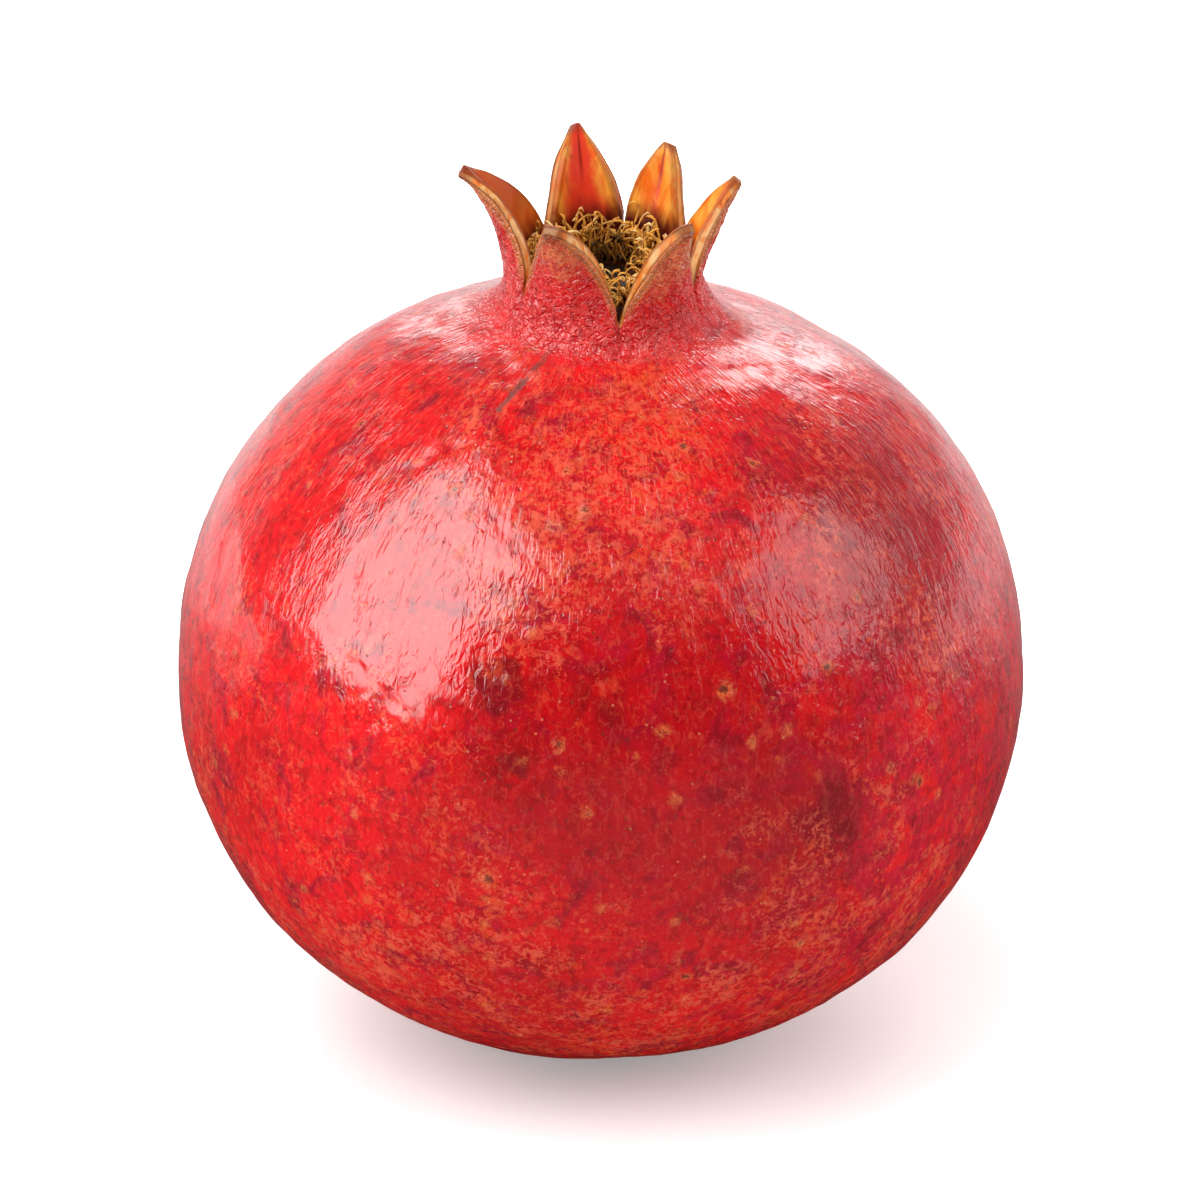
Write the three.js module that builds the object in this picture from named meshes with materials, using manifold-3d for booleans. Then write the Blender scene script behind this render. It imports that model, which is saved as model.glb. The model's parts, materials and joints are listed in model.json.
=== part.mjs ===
// A whole fresh pomegranate, standing on its stalk end with its crown up.
// Millimetres, +Z up, origin on the ground under the middle of the fruit.
// An angle round the fruit is 0 at the front (-Y) and grows towards the right (+X).

import * as THREE from "three";
import { mergeVertices } from "three/addons/utils/BufferGeometryUtils.js";
import Module from "manifold-3d";

// The body: two half superellipses that meet at the widest level.
const FRUIT_WIDTH = 92.3;
const WIDEST_HEIGHT = 39.2;
const UPPER_RISE = 43.6;
const LOWER_DROP = 39.8;
const UPPER_FULLNESS = 2.13;
const LOWER_FULLNESS = 2.08;
const BODY_ROWS = 31;
const LOW_POLE = 169; // degrees from straight up, where the flat foot begins
const RIDGE_HEIGHT = 0.4;
const LEFT_SWELL = 0.55; // how much fuller the left shoulder is, and how much leaner the left flank
const SHOULDER_SLOPE = 0.035; // how steeply the shoulder falls towards the right

// The foot: a flat ring to rest on, round a dimple that holds the cut stalk.
const DIMPLE_RADIUS = 5.2;
const DIMPLE_DEPTH = 3;
const DIMPLE_FLOOR_RADIUS = 2.6;
const STALK_RADIUS = 2.1;
const STALK_CLEARANCE = 0.8;

// The crown: a short tube that flares out of the shoulder and splits into six lobes.
const CROWN_SHIFT = 0.5;
const CROWN_RADIUS = 10.5;
const NECK_REACH = 17.5;
const NECK_ROWS = 6;
const WALL = 2;
const EDGE_WALL_SHARE = 0.8;
const TIP_WALL_SHARE = 0.65;
const CUP_FLOOR = 79.5;
const CUP_ROWS = 4;
const LOBE_COLUMNS = 12;
const LOBE_ROWS = [0, 0.1, 0.21, 0.33, 0.45, 0.57, 0.69, 0.8, 0.91, 1];
const TIP_CUPPING = 3;
const KEEL = 0.45;

// Each notch between two lobes: its angle and its height above the ground.
const NOTCHES = [
  { angle: 10, height: 84.4 },
  { angle: 70, height: 86.2 },
  { angle: 118, height: 88 },
  { angle: 166, height: 88.2 },
  { angle: 219, height: 87 },
  { angle: 303, height: 86.2 },
];
// The lobe that follows each notch. Its tip has an angle, a radius, a height, a half width and a lean
// from upright. Its foot has a lean too, and a fuller lobe keeps its width further up. A slant, in
// millimetres, is how much further in the outer edge of its rim runs than the inner one.
const LOBES = [
  { tip: [43.5, 13.7, 95.2], tipWidth: 1.4, tipLean: 45, footLean: 12, fullness: 1.4, slant: 0.9 },
  { tip: [92, 14.9, 96.9], tipWidth: 0.7, tipLean: 40, footLean: 16, fullness: 1.5, slant: 0 },
  { tip: [145, 13, 97.3], tipWidth: 0.6, tipLean: 30, footLean: 3, fullness: 1.9, slant: 0 },
  { tip: [193.5, 13, 98.8], tipWidth: 0.5, tipLean: 30, footLean: 3, fullness: 1.9, slant: 0 },
  { tip: [268, 15.3, 97.7], tipWidth: 0.6, tipLean: 65, footLean: 0, fullness: 1.3, slant: 0 },
  { tip: [336, 13.8, 95.9], tipWidth: 1.4, tipLean: 42, footLean: -4, fullness: 1.75, slant: 0.85 },
];

// The dried stamens: curled threads that rise from a ring lining the cup.
const STAMEN_GAP = 0.35;
const STAMEN_RING_TOP = 86;
const STAMEN_HOLE_RADIUS = 3.8;
const STAMEN_TOP = 90.9;
const STAMEN_TOP_SPREAD = 1.6;
const THREAD_RADIUS = 0.4;
const THREAD_STEPS = 5;
const SHORTEST_EDGE = 0.03; // finer slivers, left where threads cross, are taken out
const THREAD_RINGS = [
  { radius: 4.7, count: 18, lean: -1.2 },
  { radius: 5.8, count: 22, lean: 0 },
  { radius: 6.9, count: 26, lean: 0.2 },
];

const { degToRad, lerp, clamp, smoothstep } = THREE.MathUtils;
const wasm = await Module();
wasm.setup();

// A seeded generator of numbers from 0 to 1, so that every build is the same.
function seededRandom(seed) {
  let state = seed;
  return () => {
    state = (state * 16807) % 2147483647;
    return state / 2147483647;
  };
}

// A point at an angle and radius round an upright axis that stands at x = shift.
function around(angle, radius, height, shift = 0) {
  const turn = degToRad(angle);
  return new THREE.Vector3(shift + radius * Math.sin(turn), -radius * Math.cos(turn), height);
}

// The body's section: radius and height at an angle in degrees from straight up.
function bodySection(fromTop) {
  const sine = Math.sin(degToRad(fromTop));
  const cosine = Math.cos(degToRad(fromTop));
  const rise = cosine > 0 ? UPPER_RISE : LOWER_DROP;
  const fullness = cosine > 0 ? UPPER_FULLNESS : LOWER_FULLNESS;
  const across = (sine / (FRUIT_WIDTH / 2)) ** fullness;
  const along = (Math.abs(cosine) / rise) ** fullness;
  const reach = (across + along) ** (-1 / fullness);
  return new THREE.Vector2(reach * sine, WIDEST_HEIGHT + reach * cosine);
}

// The angle from straight up at which the upper half of the body has a given radius.
function bodyAngleAt(radius) {
  const height = UPPER_RISE * (1 - (radius / (FRUIT_WIDTH / 2)) ** UPPER_FULLNESS) ** (1 / UPPER_FULLNESS);
  return THREE.MathUtils.radToDeg(Math.atan2(radius, height));
}

// Every column round the fruit belongs to a lobe and runs at a place u across it, from -1 to 1.
function lobeSpan(index) {
  const start = NOTCHES[index];
  const end = NOTCHES[(index + 1) % NOTCHES.length];
  const turn = (end.angle - start.angle + 360) % 360;
  return { start, end, middle: start.angle + turn / 2, half: turn / 2 };
}

function allColumns() {
  const columns = [];
  LOBES.forEach((_, index) => {
    for (let i = 0; i < LOBE_COLUMNS; i++) columns.push({ index, u: -1 + (2 * i) / LOBE_COLUMNS });
  });
  return columns;
}

function columnAngle({ index, u }) {
  const span = lobeSpan(index);
  return span.middle + u * span.half;
}

function notchHeight({ index, u }) {
  const { start, end } = lobeSpan(index);
  return lerp(start.height, end.height, (u + 1) / 2);
}

// The wall is thickest down the middle of a lobe, and thins to the edges and the tip.
function wallAt(u, v) {
  return WALL * lerp(1, EDGE_WALL_SHARE, u * u) * lerp(1, TIP_WALL_SHARE, v);
}

// A point of the body's skin: a soft ridge runs down from each lobe and dies out at the foot.
function bodyPoint(column, fromTop) {
  const section = bodySection(fromTop);
  const angle = columnAngle(column);
  const fade = smoothstep(section.y, 0, WIDEST_HEIGHT) * smoothstep(section.x, 0, NECK_REACH);
  const ridge = RIDGE_HEIGHT * fade * Math.cos(Math.PI * column.u);
  const leftness = ((1 - Math.sin(degToRad(angle))) / 2) ** 2;
  const fullerAbove = Math.cos(degToRad(1.5 * Math.min(fromTop, 110))) * (1 - smoothstep(fromTop, 120, 160));
  const swell = LEFT_SWELL * leftness * fullerAbove;
  const radius = section.x + ridge + swell * Math.sin(degToRad(fromTop));
  const slope = SHOULDER_SLOPE * radius * Math.sin(degToRad(angle)) * smoothstep(section.y, 70, 82);
  const height = section.y + swell * Math.cos(degToRad(fromTop)) - slope;
  const shift = CROWN_SHIFT * smoothstep(section.y, WIDEST_HEIGHT, WIDEST_HEIGHT + UPPER_RISE);
  return around(angle, radius, Math.max(0, height), shift);
}

// The neck: from t = 0 on the shoulder up a hollow curve to t = 1 at the foot of the lobes.
function neckPoint(column, t) {
  const joinAngle = bodyAngleAt(NECK_REACH);
  const join = bodyPoint(column, joinAngle);
  const below = bodyPoint(column, joinAngle + 1);
  const axis = new THREE.Vector3(CROWN_SHIFT, 0, 0);
  const radiusOf = (p) => Math.hypot(p.x - axis.x, p.y);
  const start = new THREE.Vector2(radiusOf(join), join.z);
  const inward = start.clone().sub(new THREE.Vector2(radiusOf(below), below.z)).setLength(5);
  const top = new THREE.Vector2(CROWN_RADIUS, notchHeight(column));
  const curve = new THREE.CubicBezierCurve(
    start,
    start.clone().add(inward),
    top.clone().add(new THREE.Vector2(0.5, -3.4)),
    top,
  );
  const place = curve.getPoint(t);
  return around(columnAngle(column), place.x, place.y, CROWN_SHIFT);
}

// The curve up the middle of a lobe, in radius and height: upright at its foot, leaning out at its tip.
function lobeMidline(index) {
  const { start, end } = lobeSpan(index);
  const { tip: [, tipRadius, tipHeight], tipLean, footLean } = LOBES[index];
  const foot = new THREE.Vector2(CROWN_RADIUS, (start.height + end.height) / 2);
  const tip = new THREE.Vector2(tipRadius, tipHeight);
  const rise = tip.y - foot.y;
  const leaning = (lean, length) => {
    return new THREE.Vector2(Math.sin(degToRad(lean)), Math.cos(degToRad(lean))).setLength(length);
  };
  return new THREE.CubicBezierCurve(
    foot,
    foot.clone().add(leaning(footLean, 0.42 * rise)),
    tip.clone().sub(leaning(tipLean, 0.3 * rise)),
    tip,
  );
}

// A point of a lobe: u across it from -1 to 1, v up it from 0 to 1, and how deep in its wall from 0 to 1.
function lobePoint({ index, u }, v, depth) {
  const span = lobeSpan(index);
  const { tip: [tipAngle], tipWidth, fullness, slant } = LOBES[index];
  const curve = lobeMidline(index);
  const middle = curve.getPoint(v);
  const along = curve.getTangent(v);
  const angle = lerp(span.middle, tipAngle, v);
  const radial = around(angle, 1, 0);
  const sideways = new THREE.Vector3(-radial.y, radial.x, 0);
  const lean = Math.atan2(along.x, along.y) * smoothstep(v, 0, 0.3);
  const out = radial.clone().multiplyScalar(Math.cos(lean)).add(new THREE.Vector3(0, 0, -Math.sin(lean)));
  const cupping = lerp(CROWN_RADIUS, TIP_CUPPING, Math.sqrt(v));
  const width = lerp(CROWN_RADIUS * degToRad(span.half), tipWidth, v ** fullness);
  const bend = (u * (width - slant * smoothstep(v, 0, 0.5) * (1 - depth))) / cupping;
  const skin = out.clone().multiplyScalar(Math.cos(bend)).addScaledVector(sideways, Math.sin(bend));
  const slope = (notchHeight({ index, u }) - notchHeight({ index, u: 0 })) * (1 - v) ** 2;
  const keel = KEEL * 4 * v * (1 - v) * (1 - Math.abs(u)) ** 2;
  return around(angle, middle.x, middle.y + slope, CROWN_SHIFT)
    .addScaledVector(out, -cupping + keel)
    .addScaledVector(skin, cupping - depth * wallAt(u, v));
}

// The inside of the cup: from t = 0 at the foot of the lobes down to t = 1 at the edge of its floor.
function cupPoint(column, t) {
  const top = lobePoint(column, 0, 1);
  const radius = lerp(Math.hypot(top.x - CROWN_SHIFT, top.y), CROWN_RADIUS - WALL, clamp(2 * t, 0, 1));
  return around(columnAngle(column), radius, lerp(top.z, CUP_FLOOR, t), CROWN_SHIFT);
}

// The triangles between neighbouring rows of points, which face to the left of a row going up.
function patch(rows) {
  const points = [];
  for (let j = 0; j + 1 < rows.length; j++) {
    for (let i = 0; i + 1 < rows[j].length; i++) {
      const [a, b] = [rows[j][i], rows[j][i + 1]];
      const [c, d] = [rows[j + 1][i + 1], rows[j + 1][i]];
      for (const triangle of [[a, b, c], [a, c, d]]) {
        const [p, q, r] = triangle;
        if (!p.equals(q) && !q.equals(r) && !r.equals(p)) points.push(p, q, r);
      }
    }
  }
  return points;
}

// One closed mesh from a list of triangles' corners, with the shared corners merged.
function closedMesh(points) {
  return mergeVertices(new THREE.BufferGeometry().setFromPoints(points), 1e-4);
}

function ring(columns, pointOf) {
  const row = columns.map(pointOf);
  return [...row, row[0]];
}

// The outside, from the middle of the dimple, over the foot and the body, to the foot of the lobes.
function outerRows(columns) {
  const flat = (radius, height) => ring(columns, (column) => around(columnAngle(column), radius, height));
  const rows = [flat(0, DIMPLE_DEPTH), flat(DIMPLE_FLOOR_RADIUS, DIMPLE_DEPTH)];
  rows.push(flat(lerp(DIMPLE_FLOOR_RADIUS, DIMPLE_RADIUS, 0.55), DIMPLE_DEPTH * 0.7));
  rows.push(flat(DIMPLE_RADIUS, 0));
  const joinAngle = bodyAngleAt(NECK_REACH);
  for (let j = 0; j < BODY_ROWS; j++) {
    rows.push(ring(columns, (column) => bodyPoint(column, lerp(LOW_POLE, joinAngle, j / BODY_ROWS))));
  }
  for (let j = 0; j <= NECK_ROWS; j++) {
    rows.push(ring(columns, (column) => neckPoint(column, j / NECK_ROWS)));
  }
  return rows;
}

// One lobe: its outer and inner faces, and the rim that joins them along both edges and over the tip.
function lobePatches(index) {
  const acrossLobe = [];
  for (let i = 0; i <= LOBE_COLUMNS; i++) acrossLobe.push({ index, u: -1 + (2 * i) / LOBE_COLUMNS });
  const face = (depth) => LOBE_ROWS.map((v) => acrossLobe.map((column) => lobePoint(column, v, depth)));
  const outer = face(1e-9);
  const inner = face(1);
  const rim = (edge) => outer.map((row, j) => [row.at(edge), inner[j].at(edge)]);
  const left = rim(0).map(([out, into]) => [into, out]);
  const tip = [outer.at(-1), inner.at(-1)];
  return [outer, tip, [...inner].reverse(), rim(-1), left].flatMap(patch);
}

function fruitGeometry() {
  const columns = allColumns();
  const points = patch(outerRows(columns));
  LOBES.forEach((_, index) => points.push(...lobePatches(index)));
  const cup = [];
  for (let j = 0; j <= CUP_ROWS; j++) cup.push(ring(columns, (column) => cupPoint(column, j / CUP_ROWS)));
  cup.push(ring(columns, () => new THREE.Vector3(CROWN_SHIFT, 0, CUP_FLOOR)));
  points.push(...patch(cup));
  return closedMesh(points);
}

function toManifold(geometry) {
  geometry.deleteAttribute("normal");
  geometry.deleteAttribute("uv");
  const merged = mergeVertices(geometry, 1e-4);
  return new wasm.Manifold(
    new wasm.Mesh({
      numProp: 3,
      vertProperties: merged.attributes.position.array,
      triVerts: new Uint32Array(merged.index.array),
    }),
  );
}

function fromManifold(solid) {
  const { vertProperties, triVerts } = solid.getMesh();
  const geometry = new THREE.BufferGeometry();
  geometry.setAttribute("position", new THREE.BufferAttribute(vertProperties, 3));
  return geometry.setIndex(new THREE.BufferAttribute(triVerts, 1));
}

// A thread leaves the ring upright, wavers, and curls over at its end.
function threadGeometry(angle, radius, lean, random) {
  const wander = () => 0.6 * (random() - 0.5);
  const top = STAMEN_TOP - STAMEN_TOP_SPREAD * random();
  const sway = 12 * (random() - 0.5);
  const curl = (random() < 0.5 ? -1 : 1) * (8 + 10 * random());
  const path = new THREE.CatmullRomCurve3([
    around(angle, radius, STAMEN_RING_TOP - 1.6),
    around(angle, radius, STAMEN_RING_TOP + 0.6),
    around(angle + sway, radius + 0.4 * lean + wander(), lerp(STAMEN_RING_TOP, top, 0.65)),
    around(angle + sway + curl / 2, radius + lean, top),
    around(angle + sway + curl, radius + 1.3 * lean + wander(), top - 0.9),
  ]);
  const section = new THREE.Shape(
    [0, 120, 240].map((turn) => {
      const corner = around(turn, THREAD_RADIUS, 0);
      return new THREE.Vector2(corner.x, corner.y);
    }),
  );
  return new THREE.ExtrudeGeometry(section, { steps: THREAD_STEPS, extrudePath: path });
}

function stamenGeometry() {
  const random = seededRandom(58);
  const outside = CROWN_RADIUS - WALL - STAMEN_GAP;
  const profile = [
    [STAMEN_HOLE_RADIUS, CUP_FLOOR],
    [outside, CUP_FLOOR],
    [outside, STAMEN_RING_TOP - 0.6],
    [outside - 0.8, STAMEN_RING_TOP],
    [STAMEN_HOLE_RADIUS + 0.8, STAMEN_RING_TOP],
    [STAMEN_HOLE_RADIUS, STAMEN_RING_TOP - 0.8],
    [STAMEN_HOLE_RADIUS, CUP_FLOOR],
  ].map(([radius, height]) => new THREE.Vector2(radius, height));
  let solid = toManifold(new THREE.LatheGeometry(profile, 36).rotateX(Math.PI / 2));
  for (const { radius, count, lean } of THREAD_RINGS) {
    for (let i = 0; i < count; i++) {
      const angle = ((i + 0.5 * random()) * 360) / count;
      solid = solid.add(toManifold(threadGeometry(angle, radius, lean, random)));
    }
  }
  // Where threads cross they can shut in a pocket of air, which is filled by keeping the outermost surface.
  const parts = solid.simplify(SHORTEST_EDGE).decompose();
  const [outermost] = parts.sort((a, b) => b.volume() - a.volume());
  return fromManifold(outermost);
}

function stalkGeometry() {
  const height = DIMPLE_DEPTH - STALK_CLEARANCE;
  const profile = [
    [0, STALK_CLEARANCE],
    [STALK_RADIUS - 0.3, STALK_CLEARANCE],
    [STALK_RADIUS, STALK_CLEARANCE + 0.25 * height],
    [STALK_RADIUS, DIMPLE_DEPTH],
    [0, DIMPLE_DEPTH],
  ].map(([radius, level]) => new THREE.Vector2(radius, level));
  return new THREE.LatheGeometry(profile, 20).rotateX(Math.PI / 2);
}

function piece(name, geometry, color, roughness) {
  const mesh = new THREE.Mesh(geometry, new THREE.MeshStandardMaterial({ color, roughness, metalness: 0 }));
  mesh.name = name;
  return mesh;
}

const pomegranate = new THREE.Group();
const fruit = piece("fruit", fruitGeometry(), 0xb3101c, 0.35);
const stamens = piece("stamens", stamenGeometry(), 0xb07a35, 0.7);
stamens.position.x = CROWN_SHIFT;
const stalk = piece("stalk", stalkGeometry(), 0x6d5236, 0.85);
pomegranate.add(fruit, stamens, stalk);

// The middle of the fruit's outline, seen from above, is brought over the origin.
const middle = new THREE.Box3().setFromObject(fruit).getCenter(new THREE.Vector3()).setZ(0);
pomegranate.children.forEach((mesh) => mesh.position.sub(middle));

export default pomegranate;
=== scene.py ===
# %% [markdown]
# # A whole pomegranate
#
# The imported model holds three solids: the fruit with its crown, the dried stamens in the crown, and the
# cut stalk underneath. They have the right size and form, but few faces and no finish. This lesson
# replaces each of them with a finer piece of the same form, and gives it a finish made of nodes.

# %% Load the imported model
import json
import math
import random

import bmesh
import bpy
from mathutils import Matrix, Quaternion, Vector, noise

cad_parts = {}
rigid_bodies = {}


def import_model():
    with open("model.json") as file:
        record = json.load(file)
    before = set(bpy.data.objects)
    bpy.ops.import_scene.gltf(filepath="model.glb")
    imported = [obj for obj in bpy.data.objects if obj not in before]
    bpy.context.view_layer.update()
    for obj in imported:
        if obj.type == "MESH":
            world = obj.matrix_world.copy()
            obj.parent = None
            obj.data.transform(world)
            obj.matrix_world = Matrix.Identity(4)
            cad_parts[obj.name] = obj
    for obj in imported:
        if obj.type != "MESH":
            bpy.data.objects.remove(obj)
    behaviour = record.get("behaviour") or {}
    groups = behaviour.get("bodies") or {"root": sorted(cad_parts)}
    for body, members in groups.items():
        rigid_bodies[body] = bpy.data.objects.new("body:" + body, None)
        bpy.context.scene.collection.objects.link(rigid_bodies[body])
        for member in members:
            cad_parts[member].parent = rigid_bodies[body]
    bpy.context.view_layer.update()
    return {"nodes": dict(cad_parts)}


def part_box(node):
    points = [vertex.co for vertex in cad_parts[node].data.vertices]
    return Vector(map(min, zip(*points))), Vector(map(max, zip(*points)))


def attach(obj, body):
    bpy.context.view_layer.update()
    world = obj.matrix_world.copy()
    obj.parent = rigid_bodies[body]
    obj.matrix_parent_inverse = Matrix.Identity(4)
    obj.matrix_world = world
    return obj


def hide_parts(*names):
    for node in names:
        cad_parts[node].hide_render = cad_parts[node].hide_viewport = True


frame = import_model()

MM = 0.001
print("nodes:", sorted(frame["nodes"]))

# %% [markdown]
# ## The camera
#
# The fruit fills most of the picture and its outline is hardly distorted, so the camera stands well back
# with a long lens. How open the ring of the crown looks tells how far it looks down: about 24 degrees.

# %% Camera
CAMERA_DISTANCE = 0.9
CAMERA_ELEVATION = math.radians(24.5)
AIM_HEIGHT = 0.0484
LENS = 248.4

towards_camera = Vector((0, -math.cos(CAMERA_ELEVATION), math.sin(CAMERA_ELEVATION)))
camera_data = bpy.data.cameras.new("camera")
camera_data.sensor_width = 36
camera_data.lens = LENS
camera = bpy.data.objects.new("camera", camera_data)
camera.location = Vector((0, 0, AIM_HEIGHT)) + towards_camera * CAMERA_DISTANCE
camera.rotation_euler = towards_camera.to_track_quat("Z", "Y").to_euler()
bpy.context.scene.collection.objects.link(camera)
bpy.context.scene.camera = camera
print("camera at", [round(value, 3) for value in camera.location])

# %% [markdown]
# ## The form of the fruit
#
# The body is round about its stalk, so it could be a squashed ball. Its shoulder is squarer than that,
# so its section is a superellipse, with one fullness above its widest level and one below. The fruit
# grew from a flower with six parts, and each part left a soft ridge on the body and a lobe on the crown.
# All measures are in millimetres, and angles run round the fruit from the front towards the right.

# %% Measures
FRUIT_WIDTH = 92.3
WIDEST_HEIGHT = 39.2
UPPER_RISE = 43.6
LOWER_DROP = 39.8
UPPER_FULLNESS = 2.13
LOWER_FULLNESS = 2.08
LOW_POLE = 169
RIDGE_HEIGHT = 0.4
LEFT_SWELL = 0.55
SHOULDER_SLOPE = 0.035
DIMPLE_RADIUS = 5.2
DIMPLE_DEPTH = 3
CROWN_SHIFT = 0.5
CROWN_RADIUS = 10.5
NECK_REACH = 17.5
WALL = 2
CUP_FLOOR = 79.5
TIP_CUPPING = 3
KEEL = 0.45

# Each notch of the crown: its angle, and its height above the ground.
NOTCHES = [(10, 84.4), (70, 86.2), (118, 88), (166, 88.2), (219, 87), (303, 86.2)]

# The lobe that follows each notch: the angle, radius and height of its tip, half the tip's width, how
# far its tip and its foot lean out, how long it keeps its width, how far its rim slants so that it shows
# from outside, and how red its inner face is.
LOBES = [
    dict(tip=(43.5, 13.7, 95.3), width=1.4, lean=45, foot_lean=12, fullness=1.4, slant=0.9, blush=0.3),
    dict(tip=(92, 14.9, 97), width=0.7, lean=40, foot_lean=16, fullness=1.5, slant=0, blush=0.15),
    dict(tip=(145, 13, 97.4), width=0.6, lean=30, foot_lean=3, fullness=1.9, slant=0, blush=0.25),
    dict(tip=(193.5, 13, 98.9), width=0.5, lean=30, foot_lean=3, fullness=1.9, slant=0, blush=0.8),
    dict(tip=(268, 15.3, 97.8), width=0.6, lean=65, foot_lean=0, fullness=1.3, slant=0, blush=0.2),
    dict(tip=(336, 13.8, 96), width=1.4, lean=42, foot_lean=-4, fullness=1.75, slant=0.85, blush=0.4),
]

# Where the columns of the mesh run across a lobe: closer together near its edges.
ACROSS = [-1, -0.95, -0.84, -0.68, -0.5, -0.33, -0.16, 0, 0.16, 0.33, 0.5, 0.68, 0.84, 0.95]
COLUMNS = len(ACROSS) * len(LOBES)
UP_THE_LOBE = [0.08, 0.18, 0.3, 0.43, 0.56, 0.69, 0.81, 0.91, 0.97, 1]
BODY_ROWS = 26
NECK_ROWS = 8

# The stalk stands on the fruit's own axis, so its box tells where that axis is.
stalk_low, stalk_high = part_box("stalk")
axis_offset = Vector(((stalk_low[0] + stalk_high[0]) / 2, (stalk_low[1] + stalk_high[1]) / 2, 0))
print("columns round the fruit:", COLUMNS, "axis at", [round(value / MM, 3) for value in axis_offset])


# %% Helpers for the form
def lerp(start, end, share):
    return start + (end - start) * share


def smoothstep(value, start, end):
    share = min(1, max(0, (value - start) / (end - start)))
    return share * share * (3 - 2 * share)


def around(angle, radius, height, shift=0.0):
    """A point at an angle and a radius round an upright axis."""
    turn = math.radians(angle)
    return Vector((shift + radius * math.sin(turn), -radius * math.cos(turn), height))


def lobe_span(lobe):
    """The angle in the middle of a lobe, and half the angle that it takes up."""
    start = NOTCHES[lobe][0]
    turn = (NOTCHES[(lobe + 1) % len(NOTCHES)][0] - start) % 360
    return start + turn / 2, turn / 2


def lobe_width(lobe, rise):
    """Half the width of a lobe, measured along its curved face."""
    foot = CROWN_RADIUS * math.radians(lobe_span(lobe)[1])
    return lerp(foot, LOBES[lobe]["width"], rise ** LOBES[lobe]["fullness"])


def notch_height(lobe, across):
    start, end = NOTCHES[lobe][1], NOTCHES[(lobe + 1) % len(NOTCHES)][1]
    return lerp(start, end, (across + 1) / 2)


def column_place(column):
    """The lobe that a column of the mesh belongs to, and its place across that lobe."""
    lobe, step = divmod(column % COLUMNS, len(ACROSS))
    return lobe, ACROSS[step]


def column_angle(lobe, across):
    middle, half = lobe_span(lobe)
    return middle + across * half


def body_section(from_top):
    """The radius and height of the body at an angle in degrees from straight up."""
    sine, cosine = math.sin(math.radians(from_top)), math.cos(math.radians(from_top))
    rise, fullness = (UPPER_RISE, UPPER_FULLNESS) if cosine > 0 else (LOWER_DROP, LOWER_FULLNESS)
    across, along = (sine / (FRUIT_WIDTH / 2)) ** fullness, (abs(cosine) / rise) ** fullness
    reach = (across + along) ** (-1 / fullness)
    return reach * sine, WIDEST_HEIGHT + reach * cosine


def lopsided(lobe, across, radius, height):
    """Moves a point of the perfectly round body to where it is on the uneven, ridged fruit."""
    angle = column_angle(lobe, across)
    side = math.sin(math.radians(angle))
    from_top = math.degrees(math.atan2(radius, height - WIDEST_HEIGHT))
    fade = smoothstep(height, 0, WIDEST_HEIGHT) * smoothstep(radius, 0, NECK_REACH)
    swell = LEFT_SWELL * ((1 - side) / 2) ** 2 * math.cos(math.radians(1.5 * min(from_top, 110)))
    swell *= 1 - smoothstep(from_top, 120, 160)
    shift = CROWN_SHIFT * smoothstep(height, WIDEST_HEIGHT, WIDEST_HEIGHT + UPPER_RISE)
    slope = smoothstep(height, 70, 82)
    radius += RIDGE_HEIGHT * fade * math.cos(math.pi * across) + swell * math.sin(math.radians(from_top))
    height += swell * math.cos(math.radians(from_top)) - SHOULDER_SLOPE * radius * side * slope
    return around(angle, radius, max(0, height), shift)


print("widest section:", [round(value, 1) for value in body_section(90)])

# %% [markdown]
# ## Spinning the body
#
# Anything that is round about an axis is quickest to make by spinning: one chain of edges is drawn from
# the middle of the dimple, over the foot and up the side, and turned round the axis. The ridges and the
# lopsided shoulder come afterwards, by moving the columns of the mesh.


# %% Spin the body
def draw_chain(bm, points):
    """A chain of edges, drawn out of one vertex from point to point."""
    vert = bmesh.ops.create_vert(bm, co=points[0])["vert"][0]
    for point in points[1:]:
        vert = bmesh.ops.extrude_vert_indiv(bm, verts=[vert])["verts"][0]
        vert.co = point


def spin_round(bm, steps):
    geometry = bm.verts[:] + bm.edges[:]
    bmesh.ops.spin(bm, geom=geometry, cent=(0, 0, 0), axis=(0, 0, 1), angle=math.tau, steps=steps, use_merge=True)
    bmesh.ops.remove_doubles(bm, verts=bm.verts, dist=1e-4)


join_height = UPPER_RISE * (1 - (NECK_REACH / (FRUIT_WIDTH / 2)) ** UPPER_FULLNESS) ** (1 / UPPER_FULLNESS)
join_angle = math.degrees(math.atan2(NECK_REACH, join_height))
section = [(0, DIMPLE_DEPTH), (2.6, DIMPLE_DEPTH), (4, 2.1), (DIMPLE_RADIUS, 0)]
section += [body_section(lerp(LOW_POLE, join_angle, row / BODY_ROWS)) for row in range(BODY_ROWS + 1)]

fruit_mesh = bmesh.new()
column_of = fruit_mesh.verts.layers.int.new("column")
lobe_of = fruit_mesh.verts.layers.int.new("lobe")
rise_of = fruit_mesh.verts.layers.float.new("rise")
depth_of = fruit_mesh.verts.layers.float.new("depth")
seam_of = fruit_mesh.verts.layers.float.new("seam")
border_of = fruit_mesh.verts.layers.float.new("border")
blush_of = fruit_mesh.verts.layers.float.new("blush")

draw_chain(fruit_mesh, [around(0, radius, height) for radius, height in section])
spin_round(fruit_mesh, COLUMNS)
for vert in fruit_mesh.verts:
    radius, height = math.hypot(vert.co.x, vert.co.y), vert.co.z
    turn = math.atan2(vert.co.x, -vert.co.y) % math.tau
    vert[column_of] = round(turn / math.tau * COLUMNS) % COLUMNS
    lobe, across = column_place(vert[column_of])
    vert[lobe_of], vert[rise_of], vert[seam_of], vert[border_of] = lobe, -1, abs(across), 99
    if radius > 1e-3:
        vert.co = lopsided(lobe, across, radius, height)
print("body:", len(fruit_mesh.faces), "faces")

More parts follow.
